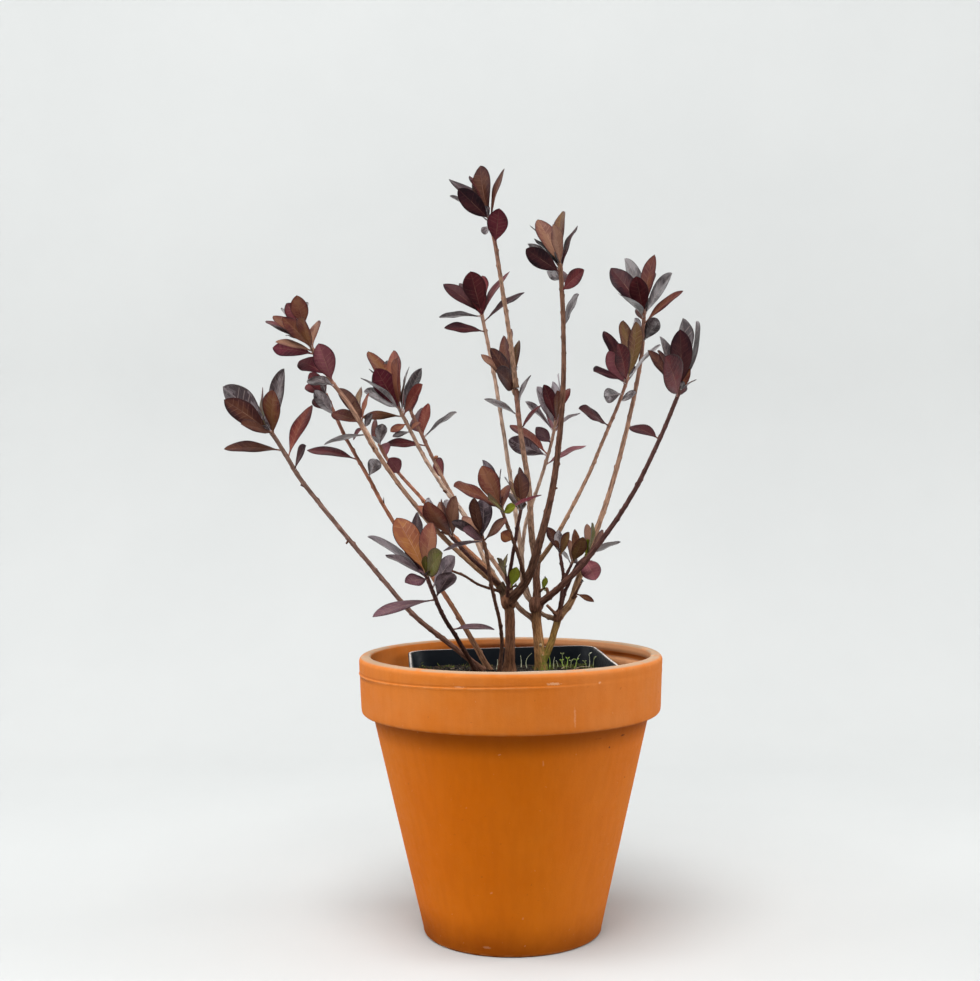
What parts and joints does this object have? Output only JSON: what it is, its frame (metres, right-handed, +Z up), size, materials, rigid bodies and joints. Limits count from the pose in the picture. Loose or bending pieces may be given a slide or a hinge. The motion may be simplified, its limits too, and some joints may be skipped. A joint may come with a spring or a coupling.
{
  "type": "potted azalea shrub",
  "caption": "Young leggy shrub with bronze and maroon winter leaves in whorls on thin upswept stems, in a square plastic nursery pot set inside a round terracotta pot.",
  "frame": {"origin": "centre of the terracotta pot's flat underside", "axes": "+Z up along the pot's axis; -Y towards the side that the picture shows; +X to the right as seen from there"},
  "size_m": [0.2335, 0.1539, 0.3803],
  "materials": {
    "terracotta": "matt fired clay, a little dusty",
    "nursery_plastic": "thin black moulded plastic, slightly glossy",
    "soil": "dark damp potting soil with moss",
    "bark": "thin brown bark, rough at the foot and smooth on young stems",
    "leaf": "leathery leaf, satin, maroon to olive above and grey violet below"
  },
  "bodies": {
    "root": {"terracotta_pot": "terracotta", "nursery_pot": "nursery_plastic", "soil": "soil", "left_trunk": "bark", "centre_trunk": "bark", "right_limb": "bark", "centre_bough": "bark", "middle_right_bough": "bark", "tall_lower_bough": "bark", "tall_top_bough": "bark", "back_middle_bough": "bark", "far_right_bough": "bark", "right_back_bough": "bark", "right_middle_bough": "bark", "centre_back_bough": "bark", "far_left_bough": "bark", "left_bough": "bark", "left_back_bough": "bark", "left_inner_bough": "bark", "left_middle_bough": "bark", "left_middle_back_bough": "bark", "front_left_bough": "bark", "low_left_bough": "bark", "front_middle_bough": "bark", "front_centre_bough": "bark", "front_right_bough": "bark", "low_right_bough": "bark", "low_right_back_bough": "bark", "bare_twig": "bark", "cross_twig": "bark", "middle_right_leaves": "leaf", "tall_lower_leaves": "leaf", "tall_top_leaves": "leaf", "back_middle_leaves": "leaf", "far_right_leaves": "leaf", "right_back_leaves": "leaf", "right_middle_leaves": "leaf", "centre_back_leaves": "leaf", "far_left_leaves": "leaf", "left_leaves": "leaf", "left_side_leaves": "leaf", "left_back_leaves": "leaf", "left_inner_leaves": "leaf", "left_middle_leaves": "leaf", "left_middle_back_leaves": "leaf", "front_left_leaves": "leaf", "low_left_leaves": "leaf", "front_middle_leaves": "leaf", "front_centre_leaves": "leaf", "front_right_leaves": "leaf", "low_right_leaves": "leaf", "low_right_back_leaves": "leaf", "fork_sprig_leaves": "leaf", "centre_sprig_leaves": "leaf", "right_sprig_leaves": "leaf"}
  },
  "joints": []
}
